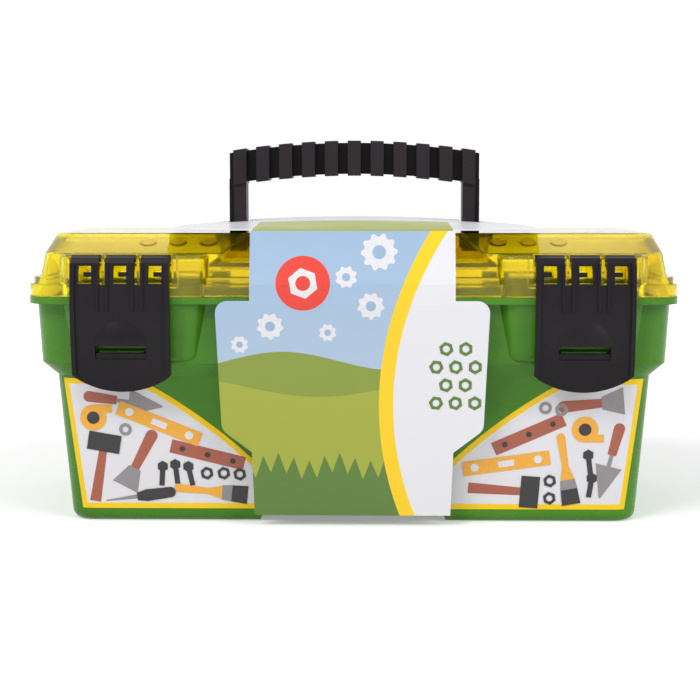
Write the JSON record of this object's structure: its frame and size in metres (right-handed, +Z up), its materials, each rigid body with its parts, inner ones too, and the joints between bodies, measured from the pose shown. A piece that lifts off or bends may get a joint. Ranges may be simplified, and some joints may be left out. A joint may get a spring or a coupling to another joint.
{
  "type": "toy tool box",
  "caption": "Toy tool box with a tapered tub, a hinged clear lid, two hook latches, a ribbed folding carry handle, front labels and a printed card.",
  "frame": {"origin": "under the middle of the whole box, on the plane that it stands on", "axes": "+Z up, +X to the right seen from the front, +Y from the front with the latches to the hinged back"},
  "size_m": [0.32, 0.1688, 0.1925],
  "materials": {
    "tub_plastic": "satin moulded green plastic",
    "lid_plastic": "clear yellow moulded plastic",
    "black_plastic": "fine-grained black moulded plastic",
    "pin_steel": "drawn steel pin",
    "label_print": "printed vinyl label",
    "card_print": "printed and varnished card"
  },
  "bodies": {
    "tub": {"tub": "tub_plastic", "hinge_pin_left": "pin_steel", "hinge_pin_right": "pin_steel", "label_left": "label_print", "label_right": "label_print"},
    "lid": {"lid": "lid_plastic", "handle_pin_left": "black_plastic", "handle_pin_right": "black_plastic", "card_sleeve": "card_print"},
    "latch_left": {"latch_left": "black_plastic"},
    "latch_right": {"latch_right": "black_plastic"},
    "handle": {"handle": "black_plastic"}
  },
  "joints": [
    {"name": "lid_hinge", "type": "hinge", "parent": "tub", "child": "lid", "pos_m": [0, 0.08036, 0.115], "axis": [-1, 0, 0], "range_deg": [0, 105]},
    {"name": "latch_left_hinge", "type": "hinge", "parent": "lid", "child": "latch_left", "pos_m": [-0.1127, -0.07464, 0.1319], "axis": [-1, 0, 0], "range_deg": [0, 110]},
    {"name": "latch_right_hinge", "type": "hinge", "parent": "lid", "child": "latch_right", "pos_m": [0.1127, -0.07464, 0.1319], "axis": [-1, 0, 0], "range_deg": [0, 110]},
    {"name": "handle_fold", "type": "hinge", "parent": "lid", "child": "handle", "pos_m": [0, -0.00164, 0.1363], "axis": [-1, 0, 0], "range_deg": [0, 90]}
  ]
}
